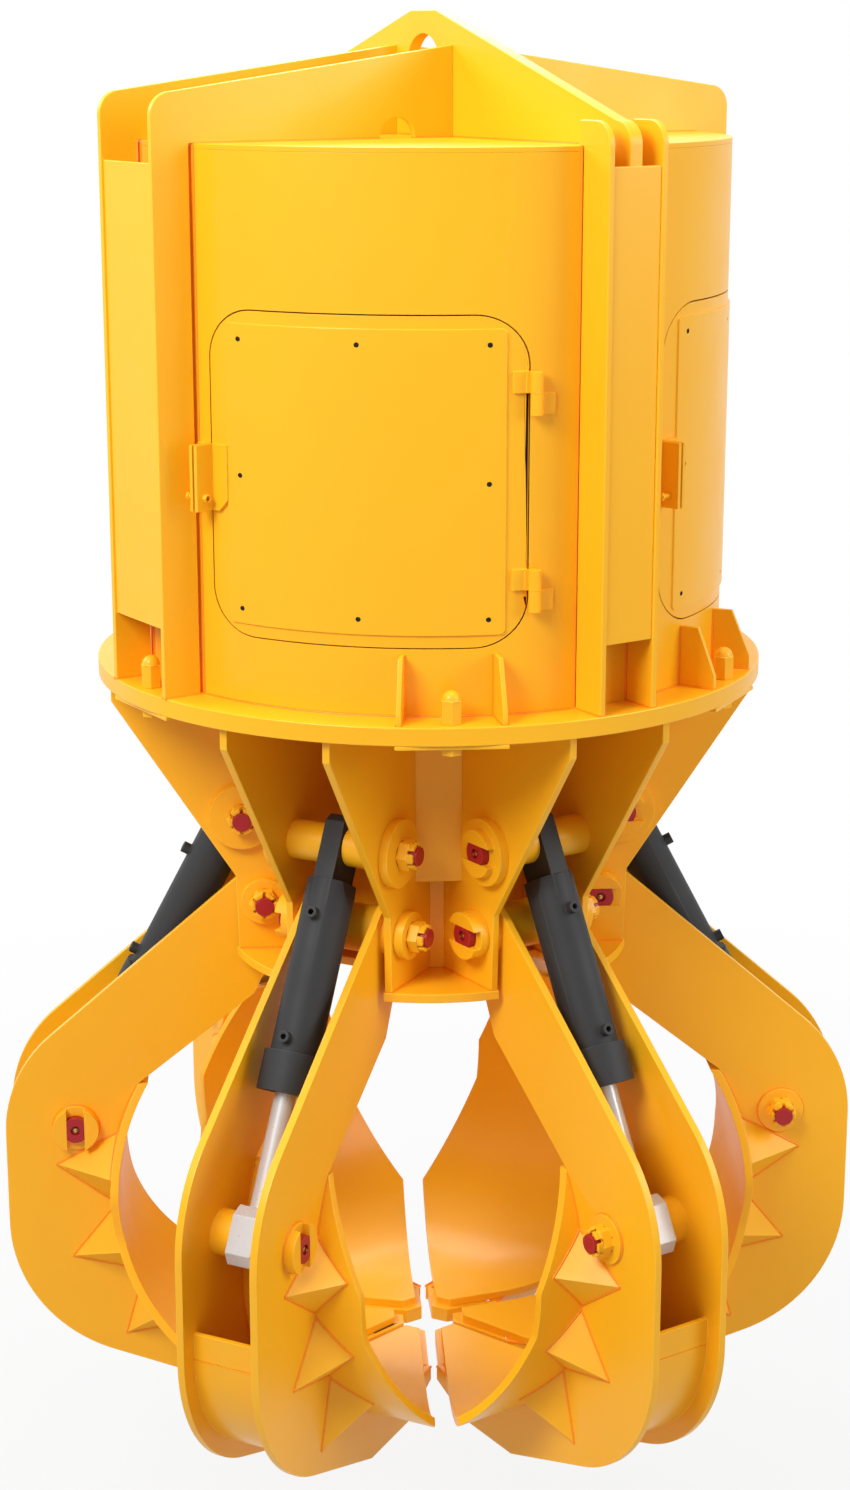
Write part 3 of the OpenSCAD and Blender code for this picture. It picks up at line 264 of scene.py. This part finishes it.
def dressed(node, material, bevel, merge_angle=0.6, sharp_angle=30.0):
    """A copy of a CAD node as clean plates with ground edges, in place of the node."""
    source = frame["nodes"][node]
    shape = bmesh.new()
    shape.from_mesh(source.data)
    bmesh.ops.remove_doubles(shape, verts=shape.verts, dist=0.00002)
    bmesh.ops.dissolve_limit(
        shape,
        angle_limit=math.radians(merge_angle),
        verts=shape.verts,
        edges=shape.edges,
        use_dissolve_boundaries=False,
    )
    # The bevel faces are marked so the paint shows them lighter: partly worn paint, partly a painted highlight.
    edge_highlight_and_wear_faces = shape.faces.layers.float.new("edge")
    sharp = [
        edge
        for edge in shape.edges
        if len(edge.link_faces) == 2 and edge.calc_face_angle(0.0) > math.radians(sharp_angle)
    ]
    if bevel > 0.0:
        ground = bmesh.ops.bevel(
            shape,
            geom=sharp,
            offset=bevel,
            offset_type="OFFSET",
            segments=2,
            profile=0.5,
            affect="EDGES",
            clamp_overlap=False,
            material=-1,
        )
        for face in ground["faces"]:
            face[edge_highlight_and_wear_faces] = 1.0
    for face in shape.faces:
        face.smooth = True
    bmesh.ops.triangulate(shape, faces=[face for face in shape.faces if len(face.verts) > 4])
    data = bpy.data.meshes.new(node + "_dressed")
    shape.to_mesh(data)
    shape.free()
    data.set_sharp_from_angle(angle=math.radians(28.0))
    data.materials.append(material)
    piece = bpy.data.objects.new(node + "_dressed", data)
    bpy.context.scene.collection.objects.link(piece)
    flat_faces = piece.modifiers.new("flat_faces", "WEIGHTED_NORMAL")
    flat_faces.keep_sharp = True
    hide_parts(node)
    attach(piece, source["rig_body"])
    return piece


yellow = sprayed("yellow_satin", (1.0, 0.500, 0.012, 1.0), (1.0, 0.445, 0.007, 1.0), 0.36, 0.0005)
for node in ("lifting_plate", "main_fins", "cross_fins", "fin_closures"):
    dressed(node, yellow, 0.0025)


def outward(azimuth):
    """Turns a place in a radial plane, +X outward and +Y along the tangent, to an azimuth."""
    return Matrix.Rotation(math.radians(azimuth - 90.0), 4, "Z")


def laid(azimuth, *places):
    """A run of places, given as reach, sideways and height, turned to an azimuth."""
    return [outward(azimuth) @ Vector(place) for place in places]


def arc(centre, radius, start, end, steps):
    """Places along an arc in a radial plane, as reach and height."""
    turns = [math.radians(start + (end - start) * i / steps) for i in range(steps + 1)]
    return [(centre[0] + radius * math.cos(turn), centre[1] + radius * math.sin(turn)) for turn in turns]


def seams(name, body, runs, bead=0.0035):
    """Weld beads along open runs of points, each laid in the corner that two plates make."""
    curve = bpy.data.curves.new(name, "CURVE")
    curve.dimensions = "3D"
    curve.bevel_depth = bead
    curve.bevel_resolution = 1
    curve.use_fill_caps = True
    for run in runs:
        spline = curve.splines.new("POLY")
        spline.points.add(len(run) - 1)
        for point, place in zip(spline.points, run):
            point.co = (*place, 1.0)
    holder = bpy.data.objects.new(name + "_path", curve)
    bpy.context.scene.collection.objects.link(holder)
    bpy.context.view_layer.update()
    data = bpy.data.meshes.new_from_object(holder)
    bpy.data.objects.remove(holder)
    data.name = name
    data.materials.clear()
    data.materials.append(weld_paint_with_joint_shade)
    for face in data.polygons:
        face.use_smooth = True
    piece = bpy.data.objects.new(name, data)
    bpy.context.scene.collection.objects.link(piece)
    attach(piece, body)
    return piece


# The bead paint is a deeper orange than the plates, a painted shade that darkens each joint line.
weld_paint_with_joint_shade = sprayed("weld_paint_with_joint_shade", (1.0, 0.300, 0.004, 1.0), (1.0, 0.240, 0.002, 1.0), 0.40, 0.0012)
lifting_half = 0.0175
lid_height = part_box("drum_lid")[1][2]
disc_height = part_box("flange_disc")[1][2]
disc_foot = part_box("flange_disc")[0][2]
drum_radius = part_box("drum_lid")[1][0]
fin_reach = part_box("cross_fins")[1][0]
fin_half = 0.0075
pass_start = 0.128
pass_end = 0.232
lid_drop = 0.004
cross_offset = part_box("cross_fins")[1][1] - fin_half
main_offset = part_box("main_fins")[1][0] - fin_half
fin_runs = []
for side in (-1, 1):
    for reach in (-1, 1):
        face = side * lifting_half
        fin_runs.append([(face, 0.0, lid_height), (face, reach * drum_radius, lid_height)])
for azimuth, offset in ((0, main_offset), (180, main_offset), (90, cross_offset), (-90, cross_offset)):
    for face in (-offset - fin_half, -offset + fin_half, offset - fin_half, offset + fin_half):
        wall = math.sqrt(drum_radius**2 - face**2)
        corner = (wall, face, disc_height)
        fin_runs.append(laid(azimuth, corner, (wall, face, lid_height - lid_drop)))
        fin_runs.append(laid(azimuth, corner, (fin_reach, face, disc_height)))
        if offset == cross_offset:
            for inner, outer in ((lifting_half, pass_start), (pass_end, wall)):
                fin_runs.append(laid(azimuth, (inner, face, lid_height), (outer, face, lid_height)))
seams("fin_welds", "frame", fin_runs)

# The drum is rolled sheet with a flat lid, welded along its foot to the flange disc.
for node in ("drum_shell", "drum_lid", "door_brackets"):
    dressed(node, yellow, 0.0012)
fin_clear_turn = 1.5
foot_bead = 0.004
foot_runs = []
for quarter in range(4):
    first, second = (main_offset, cross_offset) if quarter % 2 == 0 else (cross_offset, main_offset)
    half_gap = math.degrees(math.asin(first / drum_radius)) + fin_clear_turn
    next_gap = math.degrees(math.asin(second / drum_radius)) + fin_clear_turn
    ring = arc((0.0, 0.0), drum_radius, quarter * 90 - 90 + half_gap, quarter * 90 - next_gap, 40)
    foot_runs.append([(x, y, disc_height) for x, y in ring])
seams("drum_foot_weld", "frame", foot_runs, foot_bead)

# Each of the four doors carries a cover that eight socket screws hold, weld-on hinges at one edge
# and a two-part latch at the other.
screw_inset = 0.036
screw_radius = 0.0052
screw_lip = 0.0018
screw_socket = 0.002
screw_below_face = 0.0008
cover_face = 0.759
cover_half_turn = math.radians(26.1)
cover_half_tall = 0.354
cover_middle = 0.549
first_door_azimuth = -46.1974
socket_black = sprayed("socket_black", (0.018, 0.014, 0.010, 1.0), (0.010, 0.009, 0.008, 1.0), 0.75, 0.0001, 0.0)
for i in range(1, 5):
    dressed(f"door_{i}", yellow, 0.0010)
    dressed(f"latch_bolt_{i}", yellow, 0.0006)
    door_turn = outward(first_door_azimuth + 90 * (i - 1))
    half_wide = cover_face * math.sin(cover_half_turn) - screw_inset
    half_tall = cover_half_tall - screw_inset
    middle = disc_height + cover_middle
    heads = bmesh.new()
    for across in (-1, 0, 1):
        for up in (-1, 0, 1):
            if across == 0 and up == 0:
                continue
            wide = across * half_wide
            seat = math.sqrt(cover_face**2 - wide**2) - screw_below_face
            made = bmesh.ops.create_circle(heads, cap_ends=True, segments=16, radius=screw_radius)["verts"]
            faces = {face for vert in made for face in vert.link_faces}
            lip = bmesh.ops.inset_region(heads, faces=list(faces), thickness=screw_lip, depth=0.0)
            inner = [face for face in faces if face.is_valid]
            pushed = bmesh.ops.extrude_face_region(heads, geom=inner)["geom"]
            sunk = [part for part in pushed if isinstance(part, bmesh.types.BMVert)]
            bmesh.ops.translate(heads, verts=sunk, vec=(0.0, 0.0, -screw_socket))
            bmesh.ops.delete(heads, geom=inner, context="FACES")
            island = set(made) | set(sunk) | {vert for face in lip["faces"] for vert in face.verts}
            face_out = Matrix.Rotation(math.radians(90), 4, "Y")
            tilt = Matrix.Rotation(math.asin(wide / cover_face), 4, "Z")
            place = Matrix.Translation((seat, wide, middle + up * half_tall))
            bmesh.ops.transform(heads, matrix=door_turn @ place @ tilt @ face_out, verts=list(island))
    head_data = bpy.data.meshes.new(f"cover_screws_{i}")
    heads.to_mesh(head_data)
    heads.free()
    head_data.materials.append(socket_black)
    head_piece = bpy.data.objects.new(f"cover_screws_{i}", head_data)
    bpy.context.scene.collection.objects.link(head_piece)
    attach(head_piece, f"door_{i}")

# The flange disc, its gussets and its bolts hold the drum to the hub, whose bracket plates are
# welded to the disc and to the floor plate.
for node in ("flange_disc", "flange_gussets", "hub_core", "hub_floor", "hub_brackets", "hub_webs"):
    dressed(node, yellow, 0.0025)
dressed("flange_bolts", yellow, 0.0015)
floor_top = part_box("hub_floor")[1][2]
bracket_faces = (0.129, 0.149)
bracket_top_reach = 0.822
bracket_foot_reach = 0.506
bracket_start = 0.01
gusset_turn = 8.4
gusset_half_thick = 0.006
gusset_height = 0.148
gusset_foot = 0.096
core_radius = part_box("hub_core")[1][0]
hub_runs = []
for azimuth in range(0, 360, 60):
    for side in (-1, 1):
        for face in bracket_faces:
            start = max(core_radius, face / math.tan(math.radians(30))) + bracket_start
            for height, reach in ((disc_foot, bracket_top_reach), (floor_top, bracket_foot_reach)):
                hub_runs.append(laid(azimuth, (start, side * face, height), (reach, side * face, height)))
for bolt in (-30, 30, 150, 210):
    for side in (-1, 1):
        for face in (-gusset_half_thick, gusset_half_thick):
            wall = math.sqrt(drum_radius**2 - face**2)
            corner = (wall, face, disc_height)
            for end in ((wall, face, disc_height + gusset_height), (wall + gusset_foot, face, disc_height)):
                hub_runs.append(laid(bolt + side * gusset_turn, corner, end))
seams("hub_welds", "frame", hub_runs)

# The linkage pins are turned steel bars under dark red primer. A slotted collar holds each keyed
# end, which has a brass grease nipple in it, and a castle nut closes the other.
red = sprayed("red_primer", (0.42, 0.012, 0.016, 1.0), (0.30, 0.006, 0.010, 1.0), 0.34, 0.0002)
for node in ("cylinder_pins", "hinge_pins"):
    dressed(node, red, 0.0015)
for node in ("pin_bosses", "cylinder_spacers"):
    dressed(node, yellow, 0.0020)
dressed("pin_nuts", yellow, 0.0015)
joints = {joint["name"]: joint for joint in frame["joints"]}
hinge_reach, hinge_height = -joints["claw_hinge_1"]["pos_m"][1], joints["claw_hinge_1"]["pos_m"][2]
upper_reach, upper_height = -joints["cylinder_hinge_1"]["pos_m"][1], joints["cylinder_hinge_1"]["pos_m"][2]
rod_pin_low, rod_pin_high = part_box("claw_pin_1")
rod_pin = (-(rod_pin_low[1] + rod_pin_high[1]) / 2, (rod_pin_low[2] + rod_pin_high[2]) / 2)


def brass(name):
    finish = Finish(name)
    place = finish.node("ShaderNodeTexCoord", output="Object")
    haze = finish.noise(place, 90.0, 3.0)
    finish.set(base_color=finish.mix(haze, (0.62, 0.42, 0.12, 1.0), (0.45, 0.29, 0.08, 1.0)))
    finish.set(metallic=1.0, roughness=0.22 + 0.2 * haze)
    return finish.material


nipple_brass = brass("nipple_brass")


def nipples(name, body, places):
    """Grease nipples, each spun round its axis from a half outline that starts at its seat."""
    outline_mm = ((0.0, 0.0), (5.5, 0.0), (5.5, 4.5), (3.0, 5.5), (2.6, 8.0), (3.4, 9.5), (3.2, 11.5), (0.0, 12.5))
    shape = bmesh.new()
    for place in places:
        verts = [shape.verts.new((x / 1000, 0.0, z / 1000)) for x, z in outline_mm]
        edges = [shape.edges.new(pair) for pair in zip(verts, verts[1:])]
        spun = bmesh.ops.spin(
            shape, geom=verts + edges, cent=(0, 0, 0), axis=(0, 0, 1), angle=2 * math.pi, steps=20, use_merge=True
        )
        island = {vert for vert in shape.verts if not vert.tag}
        bmesh.ops.transform(shape, matrix=place, verts=list(island))
        for vert in shape.verts:
            vert.tag = True
    bmesh.ops.remove_doubles(shape, verts=shape.verts, dist=0.00001)
    bmesh.ops.recalc_face_normals(shape, faces=shape.faces)
    for face in shape.faces:
        face.smooth = True
    data = bpy.data.meshes.new(name)
    shape.to_mesh(data)
    shape.free()
    data.set_sharp_from_angle(angle=math.radians(40))
    data.materials.append(nipple_brass)
    piece = bpy.data.objects.new(name, data)
    bpy.context.scene.collection.objects.link(piece)
    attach(piece, body)


keyed_end = 0.194
nipple_sunk = 0.008
nipple_places = []
for azimuth in range(0, 360, 60):
    for reach, height in ((upper_reach, upper_height), (hinge_reach, hinge_height)):
        nipple_places.append(
            outward(azimuth)
            @ Matrix.Translation((reach, -keyed_end + nipple_sunk, height))
            @ Matrix.Rotation(math.radians(90), 4, "X")
        )
nipples("pin_nipples", "frame", nipple_places)

# Each claw is a welded box: two side plates round a curved shell, with a back plate, folded
# gussets under the wings and a thick tip. Weld beads follow its joints.
shell_middle = (0.330, disc_height - 1.440)
shell_outside = 0.532
cheek_faces = (0.093, 0.113)
claw_keyed_end = 0.142
hinge_tube_radius = 0.061
claw_boss_radius = 0.062
tip_rise = math.radians(9)
tip_weld_reach = 0.212
shell_inside = 0.510
gusset_depth = 0.172
gusset_wing = 0.106
gusset_half = 0.1082
gusset_foot_rise = 0.1004
gusset_steps = 8


def gusset_weld(azimuth, turn, side, points):
    """A weld round a folded gusset, from places outward, sideways and up at its turn on the shell."""
    rise = Matrix.Translation((shell_middle[0], side * cheek_faces[1], shell_middle[1])) @ Matrix.Rotation(
        math.radians(-turn), 4, "Y"
    )
    return [outward(azimuth) @ rise @ Vector((shell_inside + x, side * y, z)) for x, y, z in points]


for i in range(1, 7):
    azimuth = 60 * (i - 1)
    dressed(f"claw_frame_{i}", yellow, 0.0020)
    dressed(f"claw_shell_{i}", yellow, 0.0020)
    dressed(f"claw_pin_{i}", red, 0.0015)
    runs = []
    for side in (-1, 1):
        for face in cheek_faces:
            tip_weld_end = shell_middle[1] - shell_outside / math.cos(tip_rise)
            tip_weld_end += (shell_middle[0] - tip_weld_reach) * math.tan(tip_rise)
            curve = arc(shell_middle, shell_outside, 30, -99, 52) + [(tip_weld_reach, tip_weld_end)]
            runs.append([outward(azimuth) @ Vector((x, side * face, z)) for x, z in curve])
        tube = arc((hinge_reach, hinge_height), hinge_tube_radius, 0, 360, 32)
        runs.append([outward(azimuth) @ Vector((x, side * cheek_faces[0], z)) for x, z in tube])
        boss = arc(rod_pin, claw_boss_radius, 0, 360, 32)
        runs.append([outward(azimuth) @ Vector((x, side * cheek_faces[1], z)) for x, z in boss])
        for turn in (4, -19, -42):
            for way in (-1, 1):
                foot = []
                for step in range(gusset_steps + 1):
                    up = gusset_foot_rise * step / gusset_steps
                    out = math.sqrt(shell_outside**2 - up**2) - shell_inside
                    along = gusset_wing * (1 - out / gusset_depth - up / gusset_half)
                    foot.append((out, max(along, 0.0), way * up))
                runs.append(gusset_weld(azimuth, turn, side, [(gusset_depth, 0.0, 0.0), foot[-1]]))
                runs.append(gusset_weld(azimuth, turn, side, foot))
    seams(f"claw_welds_{i}", f"claw_{i}", runs)
    nipples(
        f"claw_nipple_{i}",
        f"claw_{i}",
        [
            outward(azimuth)
            @ Matrix.Translation((rod_pin[0], claw_keyed_end - nipple_sunk, rod_pin[1]))
            @ Matrix.Rotation(math.radians(-90), 4, "X")
        ],
    )

# The cylinders have black barrels and bright rods with a forged steel eye block.
black = sprayed("black_satin", (0.030, 0.030, 0.031, 1.0), (0.020, 0.020, 0.021, 1.0), 0.55, 0.0003, 0.0)


def bright_steel(name, tone, roughness):
    finish = Finish(name)
    place = finish.node("ShaderNodeTexCoord", output="Object")
    grain = finish.noise(place, 160.0, 3.0)
    haze = finish.noise(place, 7.0, 3.0)
    finish.set(base_color=finish.mix(haze * 0.5, tone, tuple(level * 0.86 for level in tone[:3]) + (1.0,)))
    finish.set(metallic=0.2, roughness=roughness + 0.10 * grain)
    return finish.material


chrome = bright_steel("hard_chrome", (0.62, 0.62, 0.62, 1.0), 0.24)
for i in range(1, 7):
    dressed(f"barrel_{i}", black, 0.0015)
    dressed(f"rod_{i}", chrome, 0.0020)

# Inside the drum stand the oil tank and the motor.
grey = sprayed("machine_grey", (0.23, 0.26, 0.28, 1.0), (0.18, 0.20, 0.22, 1.0), 0.40, 0.0003)
for node in ("motor", "oil_tank"):
    dressed(node, grey, 0.0020)
